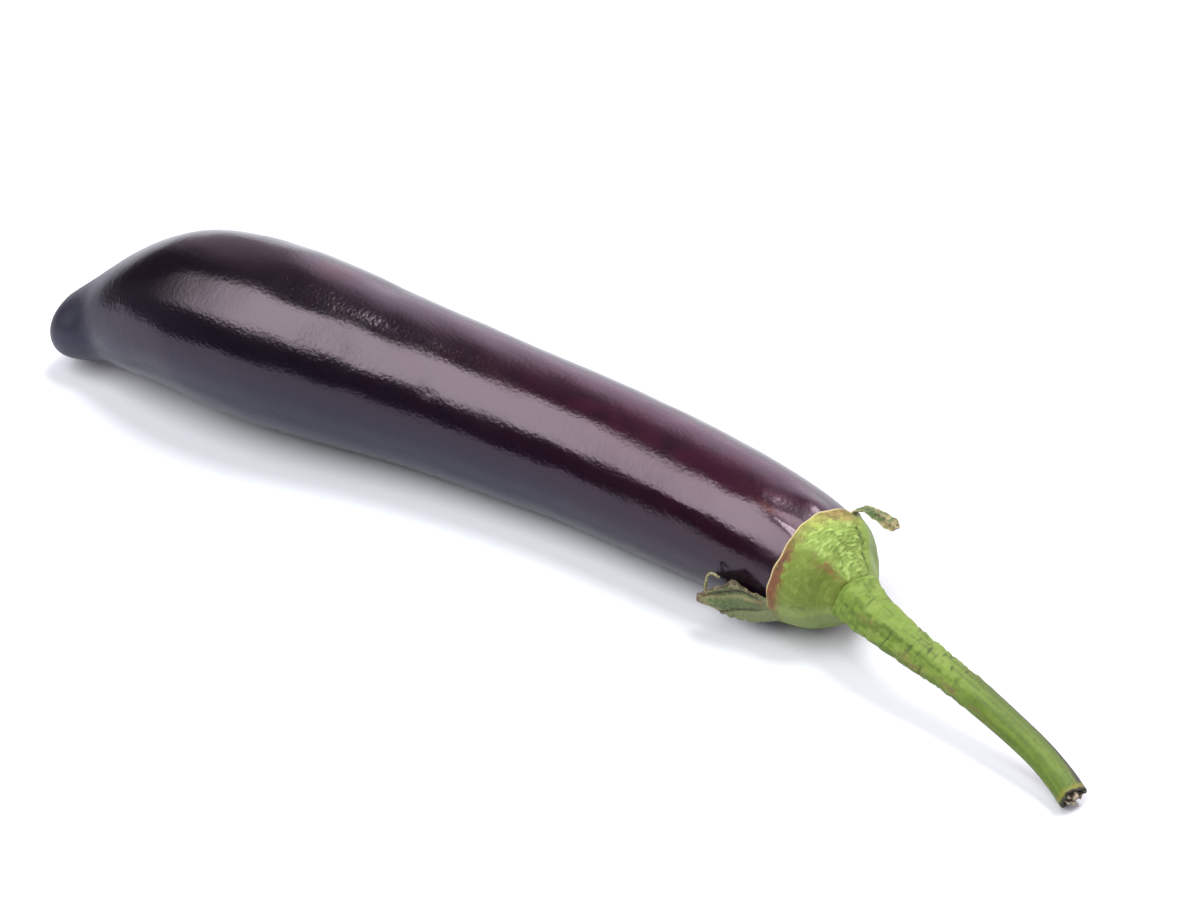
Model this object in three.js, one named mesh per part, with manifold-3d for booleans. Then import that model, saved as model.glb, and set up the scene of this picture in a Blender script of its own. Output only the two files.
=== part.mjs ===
// A long purple eggplant lying on its side: the fruit, the five-lobed calyx that caps it, the bent stem,
// and the torn pith at the stem's end. Millimetres. X runs from the blossom end (-X) to the stem (+X),
// Z is up, and the fruit rests on z = 0.
import * as THREE from "three";
import { mergeVertices } from "three/addons/utils/BufferGeometryUtils.js";
import Module from "manifold-3d";

const wasm = await Module();
wasm.setup();

// ---- Driving dimensions ----

const fitGap = 0.3; // clearance between pieces that touch

// Fruit: centre x, y, height and radius at each station from the blossom end to the stem end.
const fruitStations = [
  [-177.8, -18.0, 12.0, 0],
  [-176.3, -18.0, 12.0, 8.3],
  [-171.3, -17.4, 12.5, 10.6],
  [-162.3, -11.2, 16.0, 13.4],
  [-149.3, -8.5, 21.5, 20.0],
  [-131.3, -3.4, 26.8, 26.7],
  [-108.3, -2.3, 28.3, 28.6],
  [-80.3, 1.5, 26.2, 26.5],
  [-48.3, 5.9, 23.1, 23.4],
  [-14.3, 8.4, 22.0, 22.3],
  [19.7, 8.4, 21.0, 21.3],
  [49.7, 6.4, 20.9, 20.7],
  [69.7, 4.8, 19.9, 18.5],
  [81.1, 2.4, 19.5, 17.1],
  [89.1, 0.1, 19.7, 11.9],
  [91.3, -0.5, 19.8, 0],
];
const fruitRows = 76;
const fruitSides = 34;
const shoulderFold = 0.022; // depth of the five folds beside the calyx, as a share of the radius
const shoulderFoldFrom = 0.7; // share of the fruit's length where the folds begin
const bodySwell = 0.012; // how far the body is out of round, as a share of its radius

// Calyx: angles are about the fruit's axis, from its left side (0) over its top (90), in degrees.
const ribCount = 5;
const firstRib = 50.3;
const rimReach = 26.6; // from the fruit's stem-end pole to the rim, along the skin
const rimWall = 1.0;
const domeWall = 1.5; // at the shoulder, between the ribs
const seatWall = 5.5; // round the stem
const ribHeight = 1.6;
const flatSide = { angle: 38, reach: 9, depth: 0.9, halfTurn: 38, halfRun: 7 }; // where the dome is flatter
const rimLobes = [
  { angle: 55, reach: -4.5, halfWidth: 40, power: 1.3 }, // the notch where the curled lobe has lifted off
  { angle: 266.3, reach: 6, halfWidth: 30, power: 1.2 }, // lobe pressed flat under the neck
  { angle: 338.3, reach: 18, halfWidth: 33, power: 1.3 }, // long pointed lobe behind
];
const calyxSides = 60;
const domeRows = 14;
const liningRows = 11;

// The two dried lobes that have lifted off the fruit. Each row is a pair of edge points, and each point
// gives its reach from the fruit's pole, its angle, and its height above the skin.
const bladeThickness = 0.9;
const curledLobe = {
  edges: [
    [19.0, 44, 1.0, 19.0, 57, 1.0],
    [22.6, 43, 2.2, 22.0, 56, 1.5],
    [22.0, 44, 5.6, 21.0, 52, 3.8],
    [18.9, 42, 8.6, 18.0, 45, 5.4],
    [16.2, 40, 11.4, 15.6, 42, 6.9],
    [14.9, 39, 11.0, 14.6, 40, 8.8],
  ],
  pleat: 0.35,
  rows: 12,
  columns: 4,
};
const foldedLobe = {
  edges: [
    [17.0, 184, 1.3, 17.0, 212, 1.3],
    [24.0, 184, 1.5, 24.0, 213, 2.0],
    [31.0, 181, 1.8, 31.0, 215, 4.2],
    [39.0, 176, 2.8, 40.0, 216, 5.6],
    [45.0, 183, 4.4, 45.5, 211, 6.2],
    [51.5, 197, 6.0, 51.5, 202, 6.8],
  ],
  pleat: 1.3,
  rows: 14,
  columns: 8,
};
const threadRadius = 0.45; // the dried thread that curls up from the folded lobe's tip
const threadRoute = [
  [48.5, 195, 5.2],
  [48.8, 190, 5.1],
  [48.8, 184, 4.5],
  [48.7, 180, 3.7],
  [47.6, 178, 3.3],
  [45.3, 180, 2.8],
];

// Stem: route from the seat on the calyx to the torn end, and its radius along the way.
const stemRoute = [
  [94.9, -3.2, 20.0],
  [102.7, -7.1, 19.7],
  [113.9, -10.3, 18.6],
  [126.1, -12.6, 16.8],
  [138.1, -14.9, 14.6],
  [150.0, -17.6, 12.0],
  [160.7, -20.2, 9.1],
  [168.8, -22.9, 6.2],
  [174.1, -25.6, 4.35],
];
const stemRadii = [7.3, 6.4, 5.4, 4.8, 4.5, 4.25, 4.15, 4.15, 4.15];
const stemRows = 44;
const stemSides = 20;
const stemRidge = 0.45; // height of the five ridges where the stem meets the calyx
const stemCrease = 0.22; // depth of the creases round the first half of the stem
const creasedShare = 0.5;
const boreRadius = 2.9;
const boreDepth = 2.4;
const rimRagged = 0.35; // how far the torn rim wanders along the stem

// Pith: the plug that stands torn in the stem's end.
const pithRadius = 2.5;
const pithProud = 1.5;
const pithRagged = 0.75;
const pithSides = 14;

// ---- Geometry helpers ----

const radians = THREE.MathUtils.degToRad;
const mix = THREE.MathUtils.lerp;
const smooth = THREE.MathUtils.smoothstep;
const vector = (row) => new THREE.Vector3(row[0], row[1], row[2]);

// A row of a uniform cubic B-spline at share t of its length. Past each end the rows repeat in reverse
// with their fourth value, the radius, negated, so that a skin round it closes in a smooth dome.
function splineRow(rows, t) {
  const last = rows.length - 1;
  const span = Math.min(Math.max(t, 0), 1) * last;
  const i = Math.min(Math.floor(span), last - 1);
  const f = span - i;
  const weights = [
    (1 - f) ** 3 / 6,
    (3 * f ** 3 - 6 * f ** 2 + 4) / 6,
    (-3 * f ** 3 + 3 * f ** 2 + 3 * f + 1) / 6,
    f ** 3 / 6,
  ];
  const row = [0, 0, 0, 0];
  weights.forEach((weight, k) => {
    const j = i + k - 1;
    const mirrored = j < 0 || j > last;
    const source = rows[j < 0 ? -j : j > last ? 2 * last - j : j];
    for (let c = 0; c < 3; c++) row[c] += weight * source[c];
    row[3] += weight * (mirrored ? -source[3] : source[3]);
  });
  return row;
}

// A closed skin over rings of points that turn right-handed about the way from the first ring to the
// last. Each end is closed straight across, from the two halves of its ring.
function closedSkin(rings) {
  const sides = rings[0].length;
  const faces = [];
  const quad = (a, b, c, d) => faces.push(a, b, c, a, c, d);
  const lastRing = (rings.length - 1) * sides;
  for (let ring = 0; ring + 1 < rings.length; ring++) {
    for (let side = 0; side < sides; side++) {
      const [a, b] = [ring * sides + side, ring * sides + ((side + 1) % sides)];
      quad(a, b, b + sides, a + sides);
    }
  }
  for (let side = 0; side + 1 < sides / 2; side++) {
    const [a, b, c, d] = [side, side + 1, sides - 2 - side, sides - 1 - side];
    quad(d, c, b, a);
    quad(lastRing + a, lastRing + b, lastRing + c, lastRing + d);
  }
  const geometry = new THREE.BufferGeometry().setFromPoints(rings.flat());
  geometry.setIndex(faces);
  return geometry;
}

function solidOf(geometry) {
  const bare = geometry.clone();
  bare.deleteAttribute("normal");
  bare.deleteAttribute("uv");
  const merged = mergeVertices(bare, 1e-4);
  return new wasm.Manifold(
    new wasm.Mesh({
      numProp: 3,
      vertProperties: new Float32Array(merged.attributes.position.array),
      triVerts: new Uint32Array(merged.index.array),
    }),
  );
}

function geometryOf(solid) {
  const mesh = solid.getMesh();
  const geometry = new THREE.BufferGeometry();
  geometry.setAttribute("position", new THREE.BufferAttribute(mesh.vertProperties, 3));
  geometry.setIndex(new THREE.BufferAttribute(mesh.triVerts, 1));
  geometry.computeVertexNormals();
  return geometry;
}

function namedMesh(name, geometry, color, roughness) {
  const material = new THREE.MeshStandardMaterial({ color, roughness, metalness: 0 });
  const mesh = new THREE.Mesh(geometry, material);
  mesh.name = name;
  return mesh;
}

// 1 on a rib and 0 half way between two ribs, for an angle in degrees.
function ribShare(angle) {
  const turns = ((angle - firstRib) * ribCount) / 360;
  return Math.abs(turns - Math.floor(turns) - 0.5) * 2;
}

// ---- Fruit ----

// The spine's centre, its three directions and the fruit's mean radius at share t of its length.
function fruitFrame(t) {
  const step = 0.02;
  const row = splineRow(fruitStations, t);
  const ahead = vector(splineRow(fruitStations, t + step));
  const behind = vector(splineRow(fruitStations, t - step));
  const along = ahead.sub(behind).normalize();
  const side = new THREE.Vector3(0, 0, 1).cross(along).normalize();
  const top = along.clone().cross(side);
  return { centre: vector(row), radius: row[3], along, side, top };
}

// Out of round: a slow oval that turns along the body, and five soft folds beside the calyx.
function fruitRoundness(t, angle) {
  const turn = radians(angle);
  const oval = bodySwell * Math.sin(2 * turn + 9 * t) * smooth(t, 0.1, 0.4);
  const folds = Math.cos(ribCount * (turn - radians(firstRib)));
  return 1 + oval - shoulderFold * folds * smooth(t, shoulderFoldFrom, 1);
}

// A point on the fruit's skin, or `proud` mm outside it along the skin's normal.
function fruitPoint(t, angle, proud = 0) {
  const frame = fruitFrame(t);
  const turn = radians(angle);
  const outward = frame.side.clone().multiplyScalar(Math.cos(turn));
  outward.addScaledVector(frame.top, Math.sin(turn));
  const point = frame.centre.clone();
  point.addScaledVector(outward, frame.radius * fruitRoundness(t, angle));
  if (proud === 0) return point;
  const step = 0.001;
  const before = splineRow(fruitStations, t - step);
  const after = splineRow(fruitStations, t + step);
  const run = vector(after).sub(vector(before)).dot(frame.along);
  const normal = outward.multiplyScalar(run).addScaledVector(frame.along, before[3] - after[3]);
  return point.addScaledVector(normal.normalize(), proud);
}

function ringOf(sides, pointAt) {
  return Array.from({ length: sides }, (_, i) => pointAt((360 * i) / sides));
}

// Rows crowd towards both ends, where the skin turns over. The belly is pressed flat at z = 0.
function makeFruit() {
  const rings = [];
  for (let i = 0; i <= fruitRows; i++) {
    const even = (i + 0.25) / (fruitRows + 0.5);
    const t = even - (0.55 * Math.sin(2 * Math.PI * even)) / (2 * Math.PI);
    rings.push(ringOf(fruitSides, (angle) => fruitPoint(t, angle)));
  }
  const skin = closedSkin(rings);
  const ground = new THREE.BoxGeometry(500, 200, 20).translate(0, 0, -10);
  return geometryOf(solidOf(skin).subtract(solidOf(ground)));
}

// ---- Calyx ----

// Shares t of the fruit's length at even distances along its skin, back from the stem-end pole.
const skinSteps = 400;
const skinReaches = [0];
for (let i = 1; i <= skinSteps; i++) {
  const here = fruitPoint(1 - (0.5 * i) / skinSteps, 0);
  const before = fruitPoint(1 - (0.5 * (i - 1)) / skinSteps, 0);
  skinReaches.push(skinReaches[i - 1] + here.distanceTo(before));
}

function shareAtReach(reach) {
  const i = Math.max(skinReaches.findIndex((value) => value >= reach), 1);
  const part = (reach - skinReaches[i - 1]) / (skinReaches[i] - skinReaches[i - 1]);
  return 1 - (0.5 * (i - 1 + part)) / skinSteps;
}

function rimAt(angle) {
  return rimLobes.reduce((reach, lobe) => {
    const off = Math.abs(((angle - lobe.angle + 540) % 360) - 180) / lobe.halfWidth;
    return reach + lobe.reach * Math.max(1 - off, 0) ** lobe.power;
  }, rimReach);
}

// Wall thickness at a reach from the pole: thin at the rim, thicker over the shoulder, with five ribs.
function calyxWall(reach, angle) {
  const dome = mix(seatWall, domeWall, smooth(reach, 4, 12));
  const wall = mix(dome, rimWall, smooth(reach, 16, rimReach - 4));
  const window = smooth(reach, 3, 11) * (1 - smooth(reach, 14, rimReach + 8));
  const turnOff = (((angle - flatSide.angle + 540) % 360) - 180) / flatSide.halfTurn;
  const runOff = (reach - flatSide.reach) / flatSide.halfRun;
  const flattened = flatSide.depth * Math.exp(-(turnOff ** 2) - runOff ** 2);
  return wall + ribHeight * ribShare(angle) ** 1.5 * window - flattened;
}

const stemCurve = new THREE.CatmullRomCurve3(stemRoute.map(vector));
const seatNormal = stemCurve.getTangent(0);

// Nothing of the calyx passes the flat seat on which the stem stands.
function underSeat(point) {
  const past = point.clone().sub(vector(stemRoute[0])).dot(seatNormal);
  return past > 0 ? point.addScaledVector(seatNormal, -past) : point;
}

function calyxRing(share, proudAt) {
  return ringOf(calyxSides, (angle) => {
    const reach = rimAt(angle) * share;
    return underSeat(fruitPoint(shareAtReach(reach), angle, proudAt(reach, angle)));
  });
}

const skinPoint = ([reach, angle, proud]) => fruitPoint(shareAtReach(reach), angle, proud);
const curveThrough = (points) => new THREE.CatmullRomCurve3(points);

// A thin leaf-like blade: a strip between its two edges, pleated towards its tip, with its two faces a
// wall apart.
function bladeSkin({ edges, pleat, rows, columns }) {
  const upper = curveThrough(edges.map((row) => skinPoint(row.slice(0, 3))));
  const lower = curveThrough(edges.map((row) => skinPoint(row.slice(3))));
  const rings = [];
  for (let row = 0; row <= rows; row++) {
    const u = row / rows;
    const across = lower.getPoint(u).sub(upper.getPoint(u));
    const along = upper.getTangent(u).add(lower.getTangent(u));
    const out = along.cross(across).normalize();
    const depth = pleat * smooth(u, 0.3, 0.6) * (1 - smooth(u, 0.8, 1));
    const strip = (column, lift) => {
      const v = column / columns;
      const wave = depth * Math.sin(3 * Math.PI * v);
      return upper.getPoint(u).addScaledVector(across, v).addScaledVector(out, wave + lift);
    };
    const ring = [];
    for (let c = 0; c <= columns; c++) ring.push(strip(c, -bladeThickness / 2));
    for (let c = columns; c >= 0; c--) ring.push(strip(c, bladeThickness / 2));
    rings.push(ring);
  }
  return closedSkin(rings);
}

function threadSkin() {
  const curve = curveThrough(threadRoute.map(skinPoint));
  const rings = [];
  const rows = 12;
  for (let row = 0; row <= rows; row++) {
    const centre = curve.getPoint(row / rows);
    const along = curve.getTangent(row / rows);
    const side = new THREE.Vector3(0, 1, 0).cross(along).normalize();
    const top = along.clone().cross(side);
    rings.push(
      ringOf(6, (angle) => {
        const point = centre.clone().addScaledVector(side, threadRadius * Math.cos(radians(angle)));
        return point.addScaledVector(top, threadRadius * Math.sin(radians(angle)));
      }),
    );
  }
  return closedSkin(rings);
}

function makeCalyx() {
  const rings = [];
  for (let i = 1; i <= liningRows; i++) rings.push(calyxRing(i / liningRows, () => fitGap));
  for (let i = domeRows; i >= 1; i--) {
    rings.push(calyxRing(i / domeRows, (reach, angle) => fitGap + calyxWall(reach, angle)));
  }
  const cap = solidOf(closedSkin(rings));
  const lobes = [bladeSkin(curledLobe), bladeSkin(foldedLobe), threadSkin()];
  return geometryOf(lobes.reduce((whole, lobe) => whole.add(solidOf(lobe)), cap));
}

// ---- Stem and pith ----

function stemFrame(u) {
  const along = stemCurve.getTangent(u);
  const side = new THREE.Vector3(0, 0, 1).cross(along).normalize();
  return { centre: stemCurve.getPoint(u), along, side, top: along.clone().cross(side) };
}

function stemPoint(u, angle, radius, shift = 0) {
  const frame = stemFrame(u);
  const point = frame.centre.addScaledVector(frame.along, shift);
  point.addScaledVector(frame.side, radius * Math.cos(radians(angle)));
  return point.addScaledVector(frame.top, radius * Math.sin(radians(angle)));
}

function stemRadius(u, angle) {
  const place = u * (stemRadii.length - 1);
  const i = Math.min(Math.floor(place), stemRadii.length - 2);
  const mean = mix(stemRadii[i], stemRadii[i + 1], place - i);
  const ridge = stemRidge * (2 * ribShare(angle) - 1) * (1 - smooth(u, 0.1, 0.7));
  const crease = Math.sin(2 * Math.PI * (u * 17 + 0.25 * Math.sin(radians(angle)))) ** 4;
  return mean + ridge - stemCrease * crease * (1 - smooth(u, creasedShare - 0.1, creasedShare));
}

function raggedRim(angle) {
  const turn = radians(angle);
  return rimRagged * (Math.sin(2 * turn + 0.6) + 0.5 * Math.sin(5 * turn));
}

function makeStem() {
  const rings = [];
  for (let row = 0; row < stemRows; row++) {
    const u = row / stemRows;
    rings.push(ringOf(stemSides, (angle) => stemPoint(u, angle, stemRadius(u, angle), fitGap)));
  }
  const lip = stemRadii.at(-1);
  rings.push(ringOf(stemSides, (angle) => stemPoint(1, angle, lip, raggedRim(angle))));
  rings.push(ringOf(stemSides, (angle) => stemPoint(1, angle, boreRadius, raggedRim(angle))));
  rings.push(ringOf(stemSides, (angle) => stemPoint(1, angle, boreRadius, -boreDepth)));
  return closedSkin(rings);
}

function makePith() {
  const root = fitGap - boreDepth;
  const torn = (angle, share) => {
    const turn = radians(angle);
    const lumps = Math.sin(3 * turn + 1) + 0.6 * Math.sin(4 * turn * share + 2);
    return pithProud + pithRagged * lumps * share;
  };
  const rings = [
    ringOf(pithSides, (angle) => stemPoint(1, angle, pithRadius, root)),
    ringOf(pithSides, (angle) => stemPoint(1, angle, pithRadius, 0.4)),
    ringOf(pithSides, (angle) => stemPoint(1, angle, 0.86 * pithRadius, torn(angle, 1))),
    ringOf(pithSides, (angle) => stemPoint(1, angle, 0.45 * pithRadius, torn(angle, 0.6))),
  ];
  return closedSkin(rings);
}

// ---- Assembly ----

const eggplant = new THREE.Group();
eggplant.name = "eggplant";
eggplant.add(
  namedMesh("fruit", makeFruit(), 0x2a1a28, 0.2),
  namedMesh("calyx", makeCalyx(), 0x8fb04e, 0.6),
  namedMesh("stem", makeStem(), 0x82a04c, 0.55),
  namedMesh("pith", makePith(), 0xb9ad92, 0.9),
);

export default eggplant;
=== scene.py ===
import math

import bpy
import numpy as np
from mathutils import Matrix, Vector


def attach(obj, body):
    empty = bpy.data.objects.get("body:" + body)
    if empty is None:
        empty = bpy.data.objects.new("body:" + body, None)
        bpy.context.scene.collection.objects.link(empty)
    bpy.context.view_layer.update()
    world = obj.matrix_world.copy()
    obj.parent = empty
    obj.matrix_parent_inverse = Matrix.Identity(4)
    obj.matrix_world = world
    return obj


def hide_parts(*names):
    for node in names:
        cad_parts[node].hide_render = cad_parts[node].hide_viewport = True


# A long purple eggplant lying on its belly: a glossy fruit, a leathery green calyx whose lobes have
# dried and lifted, a bent stem, and the torn pith at its end. Shapes are worked out in millimetres.
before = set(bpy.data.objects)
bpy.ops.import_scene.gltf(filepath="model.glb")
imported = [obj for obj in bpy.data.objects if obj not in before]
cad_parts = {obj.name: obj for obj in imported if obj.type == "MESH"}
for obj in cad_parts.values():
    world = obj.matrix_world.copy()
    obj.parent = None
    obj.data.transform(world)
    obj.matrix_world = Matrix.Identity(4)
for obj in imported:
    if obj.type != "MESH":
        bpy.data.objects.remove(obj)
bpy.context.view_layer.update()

# ---- Fruit ----
# A berry with a thin waxy skin, near black with purple, redder in the paler neck that the calyx shaded.
# It grew hanging and bent, ends in a pinched nose with the flower's scar, and its own weight presses
# its belly flat on whatever it lies on.

fruit_stations = np.array(  # centre x, y, height and radius, from the blossom end to the stem end
    [
        (-177.8, -18.0, 12.0, 0),
        (-176.3, -18.0, 12.0, 8.3),
        (-171.3, -17.4, 12.5, 10.6),
        (-162.3, -11.2, 16.0, 13.4),
        (-149.3, -8.5, 21.5, 20.0),
        (-131.3, -3.4, 26.8, 26.7),
        (-108.3, -2.3, 28.3, 28.6),
        (-80.3, 1.5, 26.2, 26.5),
        (-48.3, 5.9, 23.1, 23.4),
        (-14.3, 8.4, 22.0, 22.3),
        (19.7, 8.4, 21.0, 21.3),
        (49.7, 6.4, 20.9, 20.7),
        (69.7, 4.8, 19.9, 18.5),
        (81.1, 2.4, 19.5, 17.1),
        (89.1, 0.1, 19.7, 11.9),
        (91.3, -0.5, 19.8, 0),
    ]
)
rib_count = 5
first_rib = 50.3  # angles are about the fruit's axis, from its left side (0) over its top (90), in degrees
shoulder_fold = 0.022  # depth of the five folds beside the calyx, as a share of the radius
body_swell = 0.012  # how far the body is out of round, as a share of its radius
oval_twist = 9  # how far that oval turns from end to end, in radians


def unit(vectors):
    """Each vector divided by its own length."""
    return vectors / np.linalg.norm(vectors, axis=-1, keepdims=True)


def smooth(value, low, high):
    """0 below low and 1 above high, with the cubic 3s^2 - 2s^3 between them."""
    s = np.clip((value - low) / (high - low), 0, 1)
    return s * s * (3 - 2 * s)


def station_row(t):
    """A uniform cubic B-spline through the stations at shares t of its length. Past each end the rows
    repeat in reverse with the radius negated, so that a skin round it closes in a smooth dome."""
    last = len(fruit_stations) - 1
    span = np.clip(t, 0, 1) * last
    i = np.minimum(span.astype(int), last - 1)
    f = span - i
    weights = (
        (1 - f) ** 3 / 6,
        (3 * f**3 - 6 * f**2 + 4) / 6,
        (-3 * f**3 + 3 * f**2 + 3 * f + 1) / 6,
        f**3 / 6,
    )
    row = 0
    for k, weight in enumerate(weights):
        j = i + k - 1
        mirrored = (j < 0) | (j > last)
        source = fruit_stations[np.where(j < 0, -j, np.where(j > last, 2 * last - j, j))]
        row = row + weight[..., None] * source * np.where(mirrored[..., None], (1, 1, 1, -1), 1)
    return row


def fruit_point(t, angle, proud=0):
    """The spine's centre plus its radius, a little out of round, turned by the angle about the spine,
    plus `proud` mm along the skin's normal. The oval turns slowly along the body, and five soft folds
    run up to the calyx. The way along the spine is evened out over 4 % of its length."""
    t, angle, proud = np.broadcast_arrays(np.asarray(t, float), np.radians(angle), proud)
    row = station_row(t)
    along = unit(station_row(t + 0.02)[..., :3] - station_row(t - 0.02)[..., :3])
    side = unit(np.cross((0, 0, 1), along))
    top = np.cross(along, side)
    outward = side * np.cos(angle)[..., None] + top * np.sin(angle)[..., None]
    oval = body_swell * np.sin(2 * angle + oval_twist * t) * smooth(t, 0.1, 0.4)
    folds = shoulder_fold * np.cos(rib_count * (angle - math.radians(first_rib))) * smooth(t, 0.7, 1)
    growth = station_row(t + 0.001) - station_row(t - 0.001)
    run = (growth[..., :3] * along).sum(-1)
    normal = unit(outward * run[..., None] - along * growth[..., 3:])
    return row[..., :3] + outward * (row[..., 3] * (1 + oval - folds))[..., None] + normal * proud[..., None]


def ripples(points, size, seed, count=24):
    """A smooth random field of unit spread: the sum of `count` cosine waves about `size` long that run
    through the points in seeded random directions."""
    rng = np.random.default_rng(seed)
    waves = unit(rng.normal(size=(count, 3))) * (2 * math.pi / size) * rng.uniform(0.7, 1.4, (count, 1))
    phases = rng.uniform(0, 2 * math.pi, count)
    return sum(np.cos(points @ wave + phase) for wave, phase in zip(waves, phases)) * math.sqrt(2 / count)


def bump(value, middle, width):
    """A bell that is 1 at the middle and falls to 1/e at `width` from it."""
    return np.exp(-(((value - middle) / width) ** 2))


def turned(angle, middle):
    """Degrees from the middle angle, from -180 to 180."""
    return (angle - middle + 180) % 360 - 180


def on_side(angle, middle, half_turn):
    """A bell round the piece: 1 at the middle angle and 1/e at `half_turn` degrees from it."""
    return bump(turned(angle, middle), 0, half_turn)


def closed_skin(name, rings, **fields):
    """A closed mesh over a grid of points: rings along the piece by sides round it, with each end drawn
    together to the middle of its ring. Rings turn right-handed about the way from first to last. Each
    field is an array over the same grid, and becomes an attribute of the mesh."""
    rows, sides = rings.shape[:2]
    here = np.arange(rows * sides).reshape(rows, sides)
    beside = np.roll(here, -1, axis=1)
    quads = np.stack([here[:-1], beside[:-1], beside[1:], here[1:]], -1).reshape(-1, 4)
    start = np.stack([np.full(sides, rows * sides), beside[0], here[0]], -1)
    end = np.stack([np.full(sides, rows * sides + 1), here[-1], beside[-1]], -1)

    def with_ends(grid):
        flat = grid.reshape(rows * sides, -1)
        return np.concatenate([flat, flat[:sides].mean(0)[None], flat[-sides:].mean(0)[None]])

    mesh = bpy.data.meshes.new(name)
    mesh.from_pydata(with_ends(rings) * 0.001, [], quads.tolist() + start.tolist() + end.tolist())
    for field, values in fields.items():
        kind, slot = ("FLOAT_VECTOR", "vector") if values.ndim == 3 else ("FLOAT", "value")
        attribute = mesh.attributes.new(field, kind, "POINT")
        attribute.data.foreach_set(slot, with_ends(values).astype(np.float32).ravel())
    mesh.polygons.foreach_set("use_smooth", np.ones(len(mesh.polygons), bool))
    mesh.update()
    piece = bpy.data.objects.new(name, mesh)
    bpy.context.scene.collection.objects.link(piece)
    return piece


fruit_ring_count, fruit_side_count = 461, 200
end_crowding = 0.55  # how much closer the rings stand at both ends, where the skin turns in
even = (np.arange(fruit_ring_count) + 0.3) / fruit_ring_count
fruit_t = (even - end_crowding * np.sin(2 * math.pi * even) / (2 * math.pi))[:, None]
fruit_angle = np.arange(fruit_side_count)[None] * (360 / fruit_side_count)
fruit_bare = fruit_point(fruit_t, fruit_angle)
fruit_relief = (
    0.09 * ripples(fruit_bare, 46, 3)
    + 0.028 * ripples(fruit_bare, 13, 5)
    + 0.006 * ripples(fruit_bare, 3.4, 8)
)
# A groove runs out from under the calyx with a swelling beside it.
groove_depth, swelling_height = 1.0, 1.2
fruit_relief -= groove_depth * on_side(fruit_angle, 112, 5.5) * smooth(fruit_t, 0.77, 0.86)
fruit_relief += swelling_height * on_side(fruit_angle, 82, 11) * bump(fruit_t, 0.828, 0.03)
# The blossom end is fuller on its low side, a soft ridge runs along the thin half, and shallow dents lie
# on the back. Each is a height, below 0 for a dent, times a bell along the fruit and a bell round it.
swells = (  # height, place along x, half length, angle and half turn
    (0.5, 38, 26, 138, 18),
    (-0.5, -90, 9, 105, 12),
    (-0.5, -73, 7, 66, 14),
    (0.3, -100, 18, 163, 20),
    (1.0, -130, 16, 174, 26),
    (1.0, -150, 12, 187, 24),
    (1.3, -164, 10, 145, 42),
    (0.3, -104, 13, 86, 18),
    (-0.3, -43, 2.5, 139, 8),
)
for height, middle, half_length, facing, half_turn in swells:
    swell = height * bump(fruit_bare[..., 0], middle, half_length)
    fruit_relief += swell * on_side(fruit_angle, facing, half_turn)
# The flower's scar is a pit in the tip of the nose with a low rim round it.
scar_depth, scar_rim = 0.9, 0.25
scar_reach = np.linalg.norm(fruit_bare - fruit_point(0, 0), axis=-1)
fruit_relief -= scar_depth * bump(scar_reach, 0, 2.4) - scar_rim * bump(scar_reach, 3.4, 0.9)
fruit_rings = fruit_point(fruit_t, fruit_angle, fruit_relief)
belly_soft = 0.5  # how gradually the skin leaves the table
fruit_rings[..., 2] = (fruit_rings[..., 2] + np.sqrt(fruit_rings[..., 2] ** 2 + belly_soft**2)) / 2
fruit_x = fruit_rings[..., 0]
cloudy = 0.8 + 0.2 * ripples(fruit_bare, 9, 11)
long_streaks = ripples(fruit_bare * (0.15, 1, 1), 4, 12)
fruit = closed_skin(
    "fruit_skin",
    fruit_rings,
    wine=np.clip(smooth(fruit_x, -110, 70) * cloudy, 0, 1),
    wine_back=np.clip(
        (cloudy + 0.12 * long_streaks) * smooth(fruit_x, -70, 30) * on_side(fruit_angle, 98, 38),
        0,
        1,
    ),
    # painted reflection: a bluish tint low on the front side stands in for the table's reflection
    blue_side=on_side(fruit_angle, 212, 42) * (1 - 0.7 * smooth(fruit_x, -40, 60)),
    bloom=smooth(-fruit_x, 150, 174) * cloudy,
    sunless=np.clip(
        0.9 * bump(fruit_x, 65, 4) * on_side(fruit_angle, 106, 7) * (0.8 + 0.5 * long_streaks)
        + 0.25 * bump(fruit_x, -88, 6) * on_side(fruit_angle, 78, 9),
        0,
        1,
    ),
    dull=0.8 * smooth(-fruit_x, 146, 172) + 0.45 * smooth(fruit_x, 57, 80),
    blue_sheen=on_side(fruit_angle, 215, 42) * (1 - 0.6 * smooth(fruit_x, -20, 80))
    + 0.7 * smooth(-fruit_x, 132, 165),
    scar=1 - smooth(scar_reach, 1.6, 4.2),
)


def linear(colour):
    """The linear RGBA of an sRGB hex colour, by the standard's two-part curve."""
    channels = [int(colour[i : i + 2], 16) / 255 for i in (1, 3, 5)]
    return [c / 12.92 if c < 0.04045 else ((c + 0.055) / 1.055) ** 2.4 for c in channels] + [1]


def set_inputs(tree, node, inputs):
    """Links each input of a node to a socket, or sets it to a value. An input goes by its name, or by
    its number where a node uses a name twice: 1 to 4 of a Map Range are the low and high that it reads
    and the two that it gives, and 0, 2, 3 or 0, 6, 7 of a Mix are its share and the two it mixes."""
    for name, value in inputs.items():
        if isinstance(value, bpy.types.NodeSocket):
            tree.links.new(value, node.inputs[name])
        else:
            node.inputs[name].default_value = value


def put(tree, kind, inputs=None, out=0, **settings):
    """Adds a node with its settings, sets or links its inputs, and gives back its output `out`."""
    node = tree.nodes.new(kind)
    for name, value in settings.items():
        setattr(node, name, value)
    set_inputs(tree, node, inputs or {})
    return node.outputs[out]


def finish_named(name):
    """A new material with its node tree, its surface shader and a socket for Object coordinates."""
    material = bpy.data.materials.new(name)
    material.use_nodes = True
    tree = material.node_tree
    return material, tree, tree.nodes["Principled BSDF"], put(tree, "ShaderNodeTexCoord", out="Object")


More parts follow.
